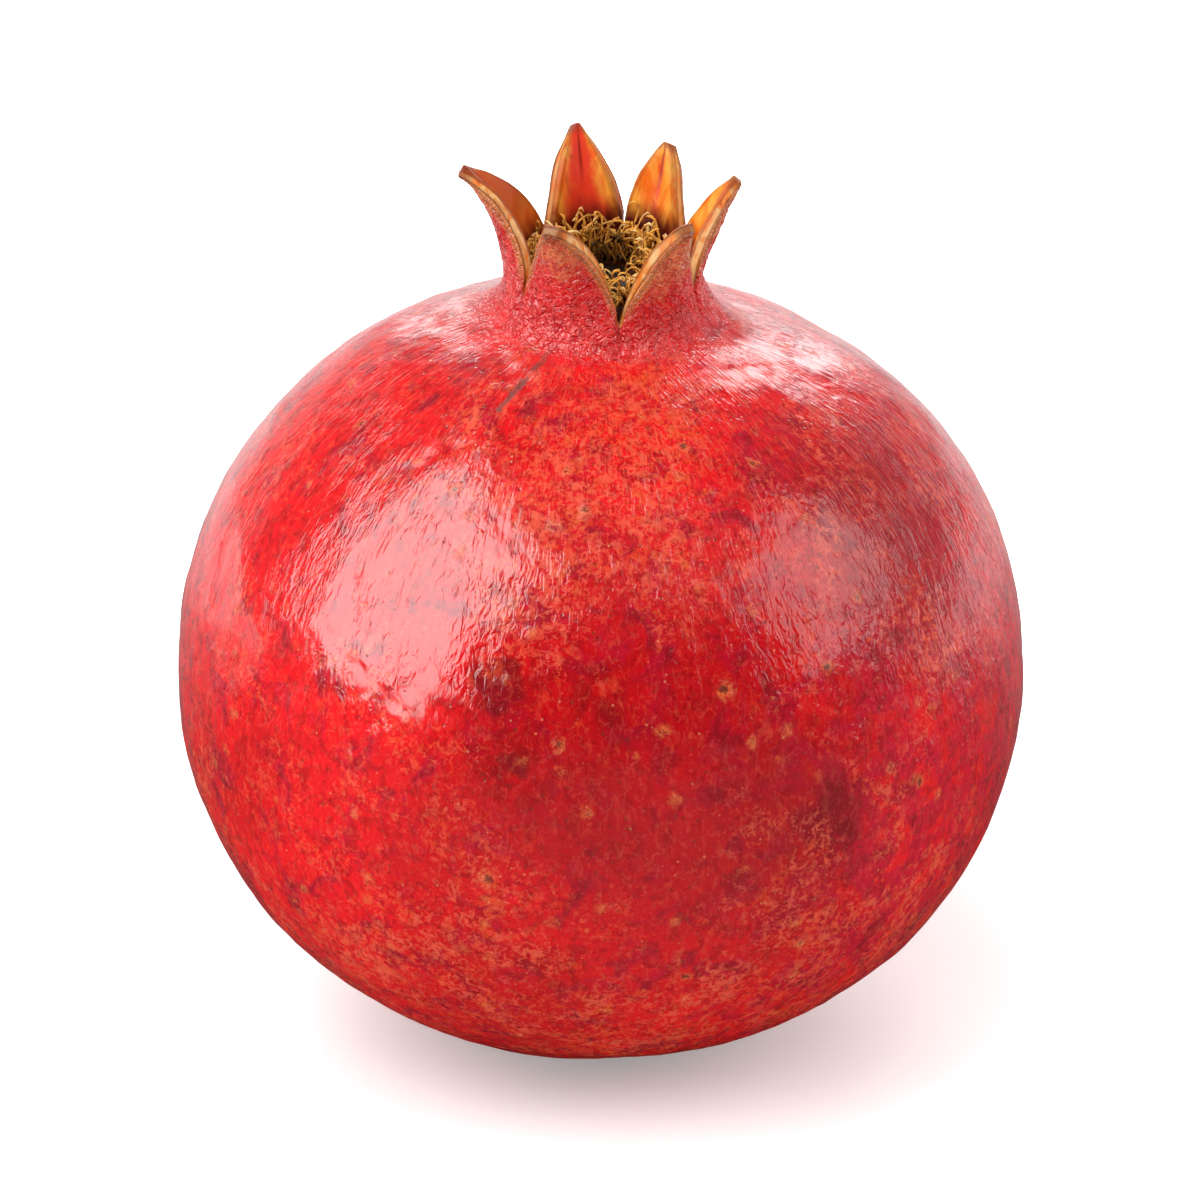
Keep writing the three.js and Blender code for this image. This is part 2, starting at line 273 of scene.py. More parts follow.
# %% [markdown]
# ## The neck
#
# The shoulder turns up into the tube of the crown in a hollow curve. The open ring at the top of the
# body is drawn out, row by row, along a curve that starts level with the shoulder and ends upright.


# %% Draw out the neck
def draw_out(bm, edges):
    """Draws edges out, and gives the new edges and each new vertex with the one that it came from."""
    before = {vert.co.copy().freeze(): vert for edge in edges for vert in edge.verts}
    made = bmesh.ops.extrude_edge_only(bm, edges=edges)["geom"]
    new_verts = [item for item in made if isinstance(item, bmesh.types.BMVert)]
    sources = {vert: before[vert.co.copy().freeze()] for vert in new_verts}
    for vert, source in sources.items():
        for layer in (column_of, lobe_of, rise_of, depth_of, seam_of, border_of, blush_of):
            vert[layer] = source[layer]
    made_edges = [item for item in made if isinstance(item, bmesh.types.BMEdge)]
    new_edges = [edge for edge in made_edges if all(vert in sources for vert in edge.verts)]
    return new_edges, sources


def bezier(points, share):
    """A point on a cubic curve with four control points."""
    rest = 1 - share
    weights = (rest**3, 3 * rest * rest * share, 3 * rest * share * share, share**3)
    return sum((point * weight for point, weight in zip(points, weights)), Vector((0, 0)))


def neck_point(lobe, across, share):
    """From 0 on the shoulder, up a hollow curve, to 1 at the foot of the lobes."""
    join = lopsided(lobe, across, *body_section(join_angle))
    below = lopsided(lobe, across, *body_section(join_angle + 1))
    start, lower = (Vector((math.hypot(p.x - CROWN_SHIFT, p.y), p.z)) for p in (join, below))
    top = Vector((CROWN_RADIUS, notch_height(lobe, across)))
    inward = (start - lower).normalized() * 5
    place = bezier((start, start + inward, top + Vector((0.5, -3.4)), top), share)
    return around(column_angle(lobe, across), place.x, place.y, CROWN_SHIFT)


edges = [edge for edge in fruit_mesh.edges if edge.is_boundary]
for row in range(1, NECK_ROWS + 1):
    edges, sources = draw_out(fruit_mesh, edges)
    for vert in sources:
        lobe, across = column_place(vert[column_of])
        vert.co = neck_point(lobe, across, row / NECK_ROWS)
        vert[rise_of] = row / NECK_ROWS - 1
        to_notch = (1 - abs(across)) * lobe_width(lobe, 0)
        vert[border_of] = math.hypot(to_notch, notch_height(lobe, across) - vert.co.z)
neck_ring = edges
print("neck ring:", len(neck_ring), "edges at the foot of the lobes")

# %% [markdown]
# ## The six lobes
#
# Each lobe is a thick leathery leaf: hollow across its width, leaning out at its tip, with a keel down
# its middle. Modelling each by hand would hide what they share, so one function gives any point of any
# lobe. Every lobe's part of the ring is drawn out alone, which leaves the notches open between them.


# %% Draw out the lobes
def wall_at(across, rise):
    """The wall is thickest down the middle of a lobe, and thins to the edges and the tip."""
    return WALL * lerp(1, 0.8, across * across) * lerp(1, 0.65, rise)


def lobe_point(lobe, across, rise, depth):
    """A point of a lobe: across it, up it, and how deep in its wall from outside to inside."""
    shape = LOBES[lobe]
    foot = Vector((CROWN_RADIUS, notch_height(lobe, 0)))
    tip_angle, *tip = shape["tip"]
    tip = Vector(tip)
    tall = tip.y - foot.y
    leaning = lambda lean, length: Vector((math.sin(math.radians(lean)), math.cos(math.radians(lean)))) * length
    curve = (foot, foot + leaning(shape["foot_lean"], 0.42 * tall), tip - leaning(shape["lean"], 0.3 * tall), tip)
    place = bezier(curve, rise)
    along = bezier(curve, min(1, rise + 0.01)) - bezier(curve, max(0, rise - 0.01))
    lean = math.atan2(along.x, along.y) * smoothstep(rise, 0, 0.3)
    angle = lerp(lobe_span(lobe)[0], tip_angle, rise)
    radial = around(angle, 1, 0)
    sideways = Vector((-radial.y, radial.x, 0))
    out = radial * math.cos(lean) - Vector((0, 0, math.sin(lean)))
    cupping = lerp(CROWN_RADIUS, TIP_CUPPING, math.sqrt(rise))
    slant = shape["slant"] * smoothstep(rise, 0, 0.5) * (1 - depth)
    bend = across * (lobe_width(lobe, rise) - slant) / cupping
    skin = out * math.cos(bend) + sideways * math.sin(bend)
    slope = (notch_height(lobe, across) - notch_height(lobe, 0)) * (1 - rise) ** 2
    keel = KEEL * 4 * rise * (1 - rise) * (1 - abs(across)) ** 2
    centre = around(angle, place.x, place.y + slope, CROWN_SHIFT) + out * (keel - cupping)
    return centre + skin * (cupping - depth * wall_at(across, rise))


def place_on_lobe(vert, rise, depth):
    """Moves a vertex to its point of its lobe, and notes what the finish needs to know."""
    lobe = vert[lobe_of]
    step = (vert[column_of] - lobe * len(ACROSS)) % COLUMNS
    across = ACROSS[step] if step < len(ACROSS) else 1
    vert.co = lobe_point(lobe, across, rise, depth)
    vert[rise_of], vert[depth_of], vert[seam_of] = rise, depth, abs(across)
    vert[border_of] = (1 - abs(across)) * lobe_width(lobe, rise)
    vert[blush_of] = LOBES[lobe]["blush"]


def edge_lobe(edge):
    """The lobe that an edge of the ring belongs to."""
    columns = sorted(vert[column_of] for vert in edge.verts)
    first = columns[1] if columns[1] - columns[0] > 1 else columns[0]
    return first // len(ACROSS)


lobe_faces = set(fruit_mesh.faces)
for lobe in range(len(LOBES)):
    edges = [edge for edge in neck_ring if edge_lobe(edge) == lobe]
    for rise in UP_THE_LOBE:
        edges, sources = draw_out(fruit_mesh, edges)
        for vert in sources:
            vert[lobe_of] = lobe
            place_on_lobe(vert, rise, 0)
lobe_faces = [face for face in fruit_mesh.faces if face not in lobe_faces]
print("outer faces of the lobes:", len(lobe_faces))

# %% [markdown]
# ## The rim, the inner faces and the cup
#
# The wall of the crown is two millimetres thick, and its cut-like rim shows all round the lobes. A
# Solidify modifier would give it one even thickness. Here the open border is drawn inwards in three
# strips, which keeps the rim's two edges crisp once the mesh is smoothed, and a copy of the outer faces
# is moved in and turned over for the inner side. Last the inner ring is drawn down to the cup's floor.

# %% Close the crown
border = [edge for edge in fruit_mesh.edges if edge.is_boundary]
edges = border
for depth in (0.14, 0.86, 1):
    edges, sources = draw_out(fruit_mesh, edges)
    for vert in sources:
        place_on_lobe(vert, max(0, vert[rise_of]), depth)

copied = bmesh.ops.duplicate(fruit_mesh, geom=lobe_faces)["geom"]
inner_faces = [item for item in copied if isinstance(item, bmesh.types.BMFace)]
for vert in {vert for face in inner_faces for vert in face.verts}:
    place_on_lobe(vert, max(0, vert[rise_of]), 1)
bmesh.ops.reverse_faces(fruit_mesh, faces=inner_faces)
bmesh.ops.remove_doubles(fruit_mesh, verts=fruit_mesh.verts, dist=1e-3)

edges = [edge for edge in fruit_mesh.edges if edge.is_boundary]
rings = [(0.25, 84.5), (0.5, 82), (0.9, 80.2), (1, CUP_FLOOR)]
for share, height in rings:
    edges, sources = draw_out(fruit_mesh, edges)
    for vert in sources:
        angle = column_angle(*column_place(vert[column_of]))
        radius = CROWN_RADIUS - WALL - 1.2 * smoothstep(share, 0.6, 1)
        vert.co = around(angle, radius, min(height, vert.co.z - 0.4), CROWN_SHIFT)
        vert[rise_of], vert[depth_of] = -share, 1
floor_face = bmesh.ops.contextual_create(fruit_mesh, geom=edges)["faces"]
bmesh.ops.poke(fruit_mesh, faces=floor_face)
bmesh.ops.recalc_face_normals(fruit_mesh, faces=fruit_mesh.faces)
open_edges = [edge for edge in fruit_mesh.edges if not edge.is_manifold]
print("whole fruit:", len(fruit_mesh.faces), "faces,", len(open_edges), "open edges")

# %% [markdown]
# ## Smoothing, then relief
#
# Subdivision rounds the rims and the body. The rind is not smooth, though: it has shallow lumps all
# over, pebbly wrinkles round the crown, and a crack that runs down from each notch. Those are moved
# into the fine mesh along its normals, and everything finer is left to the finish.


# %% Helpers that finish a mesh
def to_object(bm, name, smooth=True):
    """Puts a mesh in millimetres on the fruit's own axis, in metres, and links it to the scene."""
    mesh = bpy.data.meshes.new(name)
    bm.to_mesh(mesh)
    mesh.transform(Matrix.Translation(axis_offset) @ Matrix.Scale(MM, 4))
    mesh.polygons.foreach_set("use_smooth", [smooth] * len(mesh.polygons))
    piece = bpy.data.objects.new(name, mesh)
    bpy.context.scene.collection.objects.link(piece)
    return piece


def subdivided(bm, levels):
    """The mesh after Catmull-Clark subdivision, with its layers kept."""
    mesh = bpy.data.meshes.new("cage")
    bm.to_mesh(mesh)
    cage = bpy.data.objects.new("cage", mesh)
    bpy.context.scene.collection.objects.link(cage)
    modifier = cage.modifiers.new("smooth", "SUBSURF")
    modifier.levels = modifier.render_levels = levels
    finer = cage.evaluated_get(bpy.context.evaluated_depsgraph_get()).to_mesh()
    result = bmesh.new()
    result.from_mesh(finer)
    bpy.data.objects.remove(cage)
    bpy.data.meshes.remove(mesh)
    return result


# %% Relief of the rind
# Vector noise starts from the clock unless it gets a seed that isn't 0.
RELIEF_SEED = 7
noise.seed_set(RELIEF_SEED)


def worms(point, size):
    """Crooked little ridges, from 0 in the furrows to 1 on the crests."""
    place = point / size
    drift = noise.noise_vector(place * 0.7) * 0.6
    return 1 - min(1, 3 * abs(noise.noise(place + drift)))


def relief(point, rise, depth, seam, border):
    """How far the skin stands out at a point, in millimetres."""
    outside = 1 - smoothstep(depth, 0, 0.5)
    crown = smoothstep(rise, -0.8, -0.1)
    foot = smoothstep(point.z, 0, 4)
    lumps = 0.24 * noise.noise(point / 12) + 0.12 * noise.noise(point / 4.5 + Vector((7, 3, 1)))
    dents = 0.07 * noise.noise(point / 1.9 + Vector((1, 8, 2)))
    margin = 1 - smoothstep(border - 0.5 * rise, 0.1, 0.5)
    pebbles = 0.15 * worms(point, 0.95) * (1 - 0.8 * margin)
    near_notch = smoothstep(rise, -0.45, -0.05) * (1 - smoothstep(rise, 0, 0.15))
    crack = 0.35 * smoothstep(seam, 0.93, 1) * near_notch
    wobble = 0.25 * noise.noise(point / 3.2 + Vector((3, 9, 5))) * smoothstep(rise, 0.1, 0.6)
    return foot * (lumps + dents) * (1 - crown) + outside * (crown * pebbles - crack) + wobble


fine_mesh = subdivided(fruit_mesh, 2)
fruit_mesh.free()
layers = fine_mesh.verts.layers.float
zone_layers = [layers[name] for name in ("rise", "depth", "seam", "border")]
fine_mesh.normal_update()
moves = {}
for vert in fine_mesh.verts:
    moves[vert] = vert.normal * relief(vert.co, *(vert[layer] for layer in zone_layers))
for vert, move in moves.items():
    vert.co += move
    vert.co.z = max(0, vert.co.z)
fruit = to_object(fine_mesh, "fruit_rind")
fine_mesh.free()
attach(fruit, "root")
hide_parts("fruit")
print("fruit_rind:", sum(len(face.vertices) - 2 for face in fruit.data.polygons), "triangles")

# %% [markdown]
# ## The dried stamens
#
# When the petals fall, hundreds of stamens dry up in the cup. Each is a thread that rises from a ring
# on the wall, wavers and curls over. One straight thread is drawn out of a small circle, and copies of
# it are bent along random walks. The walks are seeded, so the tuft is the same on every run.

# %% Helpers for the stamens
THREAD_SIDES = 3
THREAD_STEPS = 14
THREAD_RADIUS = 0.15
THREADS = 340
ROOT_HEIGHT = 84.4
HOLE_RADIUS = 2.1
HOLE_PLACE = Vector((0.1, 3.9, 0))
GOLDEN_ANGLE = 137.5


def straight_thread():
    """A thread one unit long and one unit in radius, thicker at its end, as a mesh to copy."""
    bm = bmesh.new()
    bmesh.ops.create_circle(bm, cap_ends=True, radius=0.9, segments=THREAD_SIDES)
    edges = bm.edges[:]
    for step in range(1, THREAD_STEPS + 1):
        made = bmesh.ops.extrude_edge_only(bm, edges=edges)["geom"]
        verts = [item for item in made if isinstance(item, bmesh.types.BMVert)]
        edges = [edge for edge in bm.edges if all(vert in verts for vert in edge.verts)]
        bmesh.ops.translate(bm, verts=verts, vec=(0, 0, 1))
        girth = {THREAD_STEPS - 1: 1.35, THREAD_STEPS: 0.45}.get(step, 1)
        bmesh.ops.scale(bm, verts=verts, vec=(girth, girth, 1))
    bmesh.ops.contextual_create(bm, geom=edges)
    bmesh.ops.recalc_face_normals(bm, faces=bm.faces)
    mesh = bpy.data.meshes.new("thread")
    bm.to_mesh(mesh)
    bm.free()
    return mesh


def cup_radius(height):
    """How far out a thread may reach: the inside of the tube, and wider where the lobes lean out."""
    return 8.1 + 0.25 * max(0, height - 88)


def random_walk(rng, share, angle):
    """The path of one thread. Its share says how far out it stands: 0 at the hole, 1 at the wall."""
    centre = HOLE_PLACE * (1 - share)
    place = centre + around(angle, lerp(HOLE_RADIUS + 0.2, 7.8, share), ROOT_HEIGHT)
    behind = 0.5 - 0.5 * math.cos(math.radians(angle))
    top = 88.3 + share * lerp(0.5, 3.0, behind) + rng.uniform(-1.1, 0.5)
    heading = (around(angle, 0.1 + 0.35 * (1 - share), 0) + Vector((0, 0, 1))).normalized()
    curl_axis = around(angle + 90 + rng.uniform(-80, 80), rng.choice((-1, 1)), rng.uniform(-0.5, 0.5)).normalized()
    length = (top - ROOT_HEIGHT) * rng.uniform(1.1, 1.4)
    path = [place.copy()]
    for step in range(THREAD_STEPS):
        bend = math.radians(lerp(0, 75, (step / THREAD_STEPS) ** 4) * rng.uniform(0.5, 1.3))
        heading.rotate(Quaternion(curl_axis, bend))
        heading += Vector((rng.uniform(-1, 1), rng.uniform(-1, 1), rng.uniform(-0.3, 0.3))) * 0.3
        heading.normalize()
        place = place + heading * length / THREAD_STEPS
        from_hole = Vector((place.x, place.y, 0)) - HOLE_PLACE
        flat = HOLE_PLACE + from_hole * max(1, HOLE_RADIUS / from_hole.length)
        flat *= min(1, cup_radius(place.z) / flat.length)
        place = flat + Vector((0, 0, place.z))
        path.append(place.copy())
    return path


def add_thread(bm, template, path, radius, along_layer):
    """Copies the straight thread and bends it along a path."""
    before = len(bm.verts)
    bm.from_mesh(template)
    bm.verts.ensure_lookup_table()
    for vert in bm.verts[before:]:
        step = min(THREAD_STEPS, round(vert.co.z))
        heading = path[min(THREAD_STEPS, step + 1)] - path[max(0, step - 1)]
        turn = heading.to_track_quat("Z", "Y")
        vert[along_layer] = step / THREAD_STEPS
        vert.co = path[step] + turn @ Vector((vert.co.x * radius, vert.co.y * radius, 0))


# %% Make the stamens
ring = bmesh.new()
base = [(HOLE_RADIUS + 1, CUP_FLOOR), (8, CUP_FLOOR), (8, 84.6), (7, 85.4), (5.4, 85.2), (HOLE_RADIUS + 1, 84)]
base.append(base[0])
draw_chain(ring, [around(0, radius, height) for radius, height in base])
spin_round(ring, 48)
bmesh.ops.recalc_face_normals(ring, faces=ring.faces)
ring_mesh = bpy.data.meshes.new("root_ring")
ring.to_mesh(ring_mesh)
ring.free()

# The spin deleted vertices, and new ones would take their places in the order. A clean copy has no gaps,
# so each thread's vertices come last.
tuft = bmesh.new()
tuft.from_mesh(ring_mesh)
along_layer = tuft.verts.layers.float.new("along")

rng = random.Random(11)
template = straight_thread()
for index in range(THREADS):
    share = math.sqrt((index + 0.5) / THREADS)
    path = random_walk(rng, share, index * GOLDEN_ANGLE + rng.uniform(-12, 12))
    add_thread(tuft, template, path, THREAD_RADIUS * rng.uniform(0.75, 1.25), along_layer)
bmesh.ops.translate(tuft, verts=tuft.verts, vec=(CROWN_SHIFT, 0, 0))
stamens = to_object(tuft, "stamen_tuft")
tuft.free()
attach(stamens, "root")
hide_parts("stamens")
print("stamen_tuft:", sum(len(face.vertices) - 2 for face in stamens.data.polygons), "triangles")

# %% [markdown]
# ## The cut stalk
#
# The fruit was cut from its twig, which left a woody stub in the dimple. It is a circle drawn out in a
# few steps, a little uneven, with the cut end facing down.

# %% Make the stalk
stub = bmesh.new()
bmesh.ops.create_circle(stub, cap_ends=True, radius=1.5, segments=24)
edges = stub.edges[:]
for girth, drop in ((1.22, 0.05), (1.08, 0.3), (1.0, 0.8), (1.04, 0.75), (1.0, 0.3)):
    made = bmesh.ops.extrude_edge_only(stub, edges=edges)["geom"]
    verts = [item for item in made if isinstance(item, bmesh.types.BMVert)]
    edges = [edge for edge in stub.edges if all(vert in verts for vert in edge.verts)]
    bmesh.ops.scale(stub, verts=verts, vec=(girth, girth, 1))
    bmesh.ops.translate(stub, verts=verts, vec=(0, 0, drop))
bmesh.ops.contextual_create(stub, geom=edges)
bmesh.ops.poke(stub, faces=[face for face in stub.faces if len(face.verts) > 4])
bmesh.ops.recalc_face_normals(stub, faces=stub.faces)
bmesh.ops.translate(stub, verts=stub.verts, vec=(0, 0, 0.8))
for vert in stub.verts:
    spread = 1 + 0.05 * noise.noise(vert.co * 1.3)
    vert.co = Vector((vert.co.x * spread, vert.co.y * spread, vert.co.z))
stalk = to_object(stub, "cut_stalk")
stub.free()
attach(stalk, "root")
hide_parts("stalk")
print("cut_stalk:", len(stalk.data.polygons), "faces")

# %% [markdown]
# ## A small language for finishes
#
# A finish is a sum of patterns, and sums are easier to read as sums than as rows of nodes. A field
# stands for anything that varies over a surface. Arithmetic on it adds the Math nodes that do the sum.


# %% Fields and paint
class Field:
    """A number, colour or vector that varies over a surface, held by the socket of a node."""

    def __init__(self, paint, socket):
        self.paint = paint
        self.socket = socket

    def __add__(self, other):
        return self.paint.math("ADD", self, other)

    def __radd__(self, other):
        return self.paint.math("ADD", other, self)

    def __sub__(self, other):
        return self.paint.math("SUBTRACT", self, other)

    def __rsub__(self, other):
        return self.paint.math("SUBTRACT", other, self)

    def __mul__(self, other):
        return self.paint.math("MULTIPLY", self, other)

    def __rmul__(self, other):
        return self.paint.math("MULTIPLY", other, self)

    def __truediv__(self, other):
        return self.paint.math("DIVIDE", self, other)

    def __rtruediv__(self, other):
        return self.paint.math("DIVIDE", other, self)


class Paint:
    """The nodes of one finish."""

    def __init__(self, tree):
        self.tree = tree
        tree.nodes.clear()

    def node(self, kind, settings=None, inputs=None, output=0):
        """Adds a node. Its settings are set first, then each input gets a value or a link."""
        node = self.tree.nodes.new("ShaderNode" + kind)
        for name, value in (settings or {}).items():
            if name == "stops":
                while len(node.color_ramp.elements) < len(value):
                    node.color_ramp.elements.new(1)
                for element, (position, colour) in zip(node.color_ramp.elements, value):
                    element.position, element.color = position, (*colour, 1)
            else:
                setattr(node, name, value)
        for name, value in (inputs or {}).items():
            if isinstance(value, Field):
                self.tree.links.new(value.socket, node.inputs[name])
            else:
                node.inputs[name].default_value = value
        return Field(self, node.outputs[output]) if node.outputs else None

    def math(self, operation, *values):
        return self.node("Math", {"operation": operation}, dict(enumerate(values)))

    def step(self, value, start, end):
        """Goes smoothly from 0 at the start value to 1 at the end value."""
        settings = {"interpolation_type": "SMOOTHSTEP"}
        return self.node("MapRange", settings, {"Value": value, "From Min": start, "From Max": end})

    def mix(self, share, base, top, blend="MIX"):
        """A colour between two others, each a field or three numbers."""
        base, top = ((*c, 1) if isinstance(c, tuple) else c for c in (base, top))
        settings = {"data_type": "RGBA", "blend_type": blend}
        return self.node("Mix", settings, {0: share, 6: base, 7: top}, output=2)

    def vector(self, operation, first, second):
        """Vector Math on a field and either a field, three numbers, or one number for a scale."""
        name = "Scale" if operation == "SCALE" else 1
        return self.node("VectorMath", {"operation": operation}, {0: first, name: second})

    def noise(self, at, size, detail=3.0, roughness=0.5, distortion=0.0):
        """Cloudy noise from 0 to 1, whose blotches are about size millimetres across."""
        inputs = {"Vector": at, "Scale": 1 / (size * MM), "Detail": detail}
        inputs.update({"Roughness": roughness, "Distortion": distortion})
        return self.node("TexNoise", None, inputs)

    def cells(self, at, size, feature="F1", output=0):
        """Scattered cells about size millimetres apart: the distance to the nearest, or its colour."""
        inputs = {"Vector": at, "Scale": 1 / (size * MM)}
        return self.node("TexVoronoi", {"feature": feature}, inputs, output)

    def near(self, at, place, inner, outer, ragged=None):
        """Goes from 1 within the inner distance of a place to 0 beyond the outer one, in millimetres."""
        settings = {"operation": "DISTANCE"}
        inputs = {0: at, 1: tuple(value * MM for value in place)}
        distance = self.node("VectorMath", settings, inputs, output=1) / MM
        if ragged is not None:
            distance = distance + (ragged - 0.5) * outer * 3
        return 1 - self.step(distance, inner, outer)

    def near_line(self, at, start, end, inner, outer, ragged):
        """The same, but for the distance to a straight line between two places."""
        start, end = Vector(start) * MM, Vector(end) * MM
        along = end - start
        from_start = self.vector("SUBTRACT", at, tuple(start))
        inputs = {0: from_start, 1: tuple(along / along.length_squared)}
        share = self.node("VectorMath", {"operation": "DOT_PRODUCT"}, inputs, output=1)
        share = self.node("Clamp", None, {"Value": share})
        on_line = self.node("VectorMath", {"operation": "SCALE"}, {0: tuple(along), "Scale": share})
        distance = self.node("VectorMath", {"operation": "DISTANCE"}, {0: from_start, 1: on_line}, output=1) / MM
        return 1 - self.step(distance + (ragged - 0.5) * 2, inner, outer)

    def bump(self, height, strength=1.0, normal=None):
        """A normal from a height in millimetres."""
        inputs = {"Height": height, "Strength": strength, "Distance": MM}
        if normal is not None:
            inputs["Normal"] = normal
        return self.node("Bump", None, inputs)

    def shader(self, **inputs):
        """The Principled shader, with its sockets named in Python's way."""
        named = {name.replace("_", " ").title().replace("Ior", "IOR"): value for name, value in inputs.items()}
        return self.node("BsdfPrincipled", None, named)

    def finish(self, shader, other=None, share=None):
        """Puts a shader on the surface, or a blend of two: a share of the other."""
        if other is not None:
            shader = self.node("MixShader", None, {0: share, 1: shader, 2: other})
        self.node("OutputMaterial", None, {"Surface": shader})


def new_paint(piece, name):
    """A new material on a piece."""
    material = bpy.data.materials.new(name)
    material.use_nodes = True
    piece.data.materials.append(material)
    return Paint(material.node_tree)


def from_screen(red, green, blue):
    """A colour as it is read off a screen, from 0 to 255, as the linear numbers that nodes use."""
    return tuple(((value / 255 + 0.055) / 1.055) ** 2.4 if value > 10 else value / 255 / 12.92 for value in (red, green, blue))


print("a red off the screen:", [round(value, 3) for value in from_screen(200, 30, 34)])

# %% [markdown]
# ## The finish of the rind
#
# The skin is leathery and a little waxy: deep red, mottled with orange where the green ground colour shows through,
# dotted with tiny pale pores and some brown russet specks. On the crown it turns from red to tan towards the tips. The
# inner faces of the lobes are amber, the rim is the colour of dry leather, and the cup and the foot of the inner faces
# are painted dark as shade. Which zone a point is in comes from the layers that were noted while modelling.

# %% Rind: where things are
rind = new_paint(fruit, "rind")
here = rind.node("TexCoord", None, None, output=3)
apart = rind.node("SeparateXYZ", None, {0: here})
east, north, up = (Field(rind, apart.socket.node.outputs[index]) for index in range(3))
flat = rind.vector("MULTIPLY", here, (1, 1, 0))
ray = rind.node("VectorMath", {"operation": "NORMALIZE"}, {0: flat})
height = up / MM
BODY_RADIUS = 46
MIDDLE_HEIGHT = 42
from_axis = rind.node("VectorMath", {"operation": "LENGTH"}, {0: flat}, output=1) / MM
latitude = rind.math("ARCTAN2", height - MIDDLE_HEIGHT, from_axis)


def along_ribs(squeeze):
    """Places on the skin, drawn together along the ribs, so that a pattern on them is stretched that way."""
    lift = rind.node("CombineXYZ", None, {2: latitude * (BODY_RADIUS * squeeze * MM)})
    return rind.vector("ADD", rind.vector("SCALE", ray, BODY_RADIUS * MM), lift)



LAYERS = ("rise", "depth", "seam", "border", "blush")
rise, depth, seam, border, blush = (rind.node("Attribute", {"attribute_name": name}, output=2) for name in LAYERS)
behind = rind.step(north / MM, -4, 2)
inner = rind.step(depth + behind * 0.3, 0.8, 0.95)
rim = rind.step(depth, 0.03, 0.12) * (1 - rind.step(depth + behind * 0.3, 0.88, 0.97))
lobe = rind.step(rise, 0.0, 0.15)
neck = rind.step(rise, -0.85, -0.2)
print("rind zones: body, neck, lobes, rim, inner faces, cup")

# %% Rind: colours of the outside
DEEP_RED = from_screen(204, 1, 10)
BRIGHT_RED = from_screen(232, 4, 16)
DARK_RED = from_screen(112, 2, 8)
CRIMSON = from_screen(186, 5, 50)
SHADE_WINE = from_screen(140, 1, 14)
ORANGE = from_screen(232, 72, 26)
SALMON = from_screen(238, 98, 68)
OCHRE = from_screen(226, 112, 46)
STRAW = from_screen(236, 168, 116)
RUSSET = from_screen(92, 42, 24)

broad = rind.noise(here, 22, 3, 0.55, 0.4)
skin = rind.mix(rind.step(broad, 0.38, 0.62), DEEP_RED, BRIGHT_RED)
rosier = rind.noise(here, 4.5, 4, 0.6, 0.5) + 0.12 * rind.step(east / MM, 4, 34)
skin = rind.mix(rind.step(rosier, 0.5, 0.66) * 0.62, skin, CRIMSON)

mottle = rind.noise(here, 1.7, 4, 0.6, 0.6)
skin = rind.mix((1 - rind.step(mottle, 0.36, 0.52)) * 0.4, skin, DARK_RED)
DARK_PATCHES = [((-9.9, -41.4, 58.2), 4), ((0, -42.8, 56.5), 3.5), ((-9.4, -44.4, 49.3), 4.5), ((24, -39.6, 40.6), 5)]
blotches = rind.noise(here, 4.5, 5, 0.66, 0.8)
darkness = rind.step(blotches, 0.54, 0.68) * 0.75
for place, radius in DARK_PATCHES:
    darkness = darkness + rind.near(here, place, radius * 0.2, radius * 1.5) * rind.step(blotches, 0.38, 0.56)
skin = rind.mix(rind.math("MINIMUM", darkness, 1) * 0.74, skin, DARK_RED)

# Painted shade: a deeper wine red over the lower front and the right shoulder, where less light falls.
PAINTED_SHADE_ZONES = [((9, -44, 45), 27, 0.5), ((31, -24, 70), 24, 0.6)]
for place, radius, share in PAINTED_SHADE_ZONES:
    skin = rind.mix(rind.near(here, place, radius * 0.2, radius) * share, skin, SHADE_WINE)

zones = rind.noise(here, 10, 4, 0.62, 0.8) + 0.2 * rind.near(here, (-1, -27, 75), 4, 24)
zones = zones + 0.14 * (1 - rind.step(height, 16, 44)) - 0.1 * rind.near(here, (8, -44, 48), 6, 26)
flecked = rind.step(zones, 0.42, 0.72)
curls = rind.noise(here, 1.25, 6, 0.64, 0.8)
grains = rind.noise(here, 0.65, 4, 0.62, 0.9)
tints = rind.noise(here, 3.2, 3, 0.6, 0.5)
warm = rind.mix(rind.step(tints, 0.42, 0.6), SALMON, ORANGE)
warm = rind.mix(rind.step(tints, 0.6, 0.72) * flecked, warm, OCHRE)
skin = rind.mix(rind.step(curls + 0.08 * flecked, 0.56, 0.65) * (0.16 + 0.44 * flecked), skin, warm)
skin = rind.mix(rind.step(grains + 0.05 * flecked, 0.56, 0.64) * (0.14 + 0.38 * flecked), skin, SALMON)
skin = rind.mix((1 - rind.step(grains, 0.32, 0.42)) * 0.5, skin, DARK_RED)

stripes = rind.noise(along_ribs(0.32), 0.75, 4, 0.62, 0.8)
striped = rind.step(height, 58, 80) * (1 - neck)
skin = rind.mix(rind.step(stripes, 0.54, 0.66) * (0.12 + 0.32 * striped), skin, SALMON)
skin = rind.mix((1 - rind.step(stripes, 0.34, 0.44)) * (0.14 + 0.34 * striped), skin, DARK_RED)

pores = 1 - rind.step(rind.cells(here, 1.7) * 1.7, 0.07, 0.19)
pores = pores * rind.step(rind.noise(here, 3.0, 1), 0.42, 0.54)
skin = rind.mix(pores * 0.35, skin, STRAW)
pits = 1 - rind.step(rind.cells(rind.vector("ADD", here, (0.3, 0.1, 0.2)), 1.8) * 1.8, 0.1, 0.24)
skin = rind.mix(pits * 0.6, skin, RUSSET)

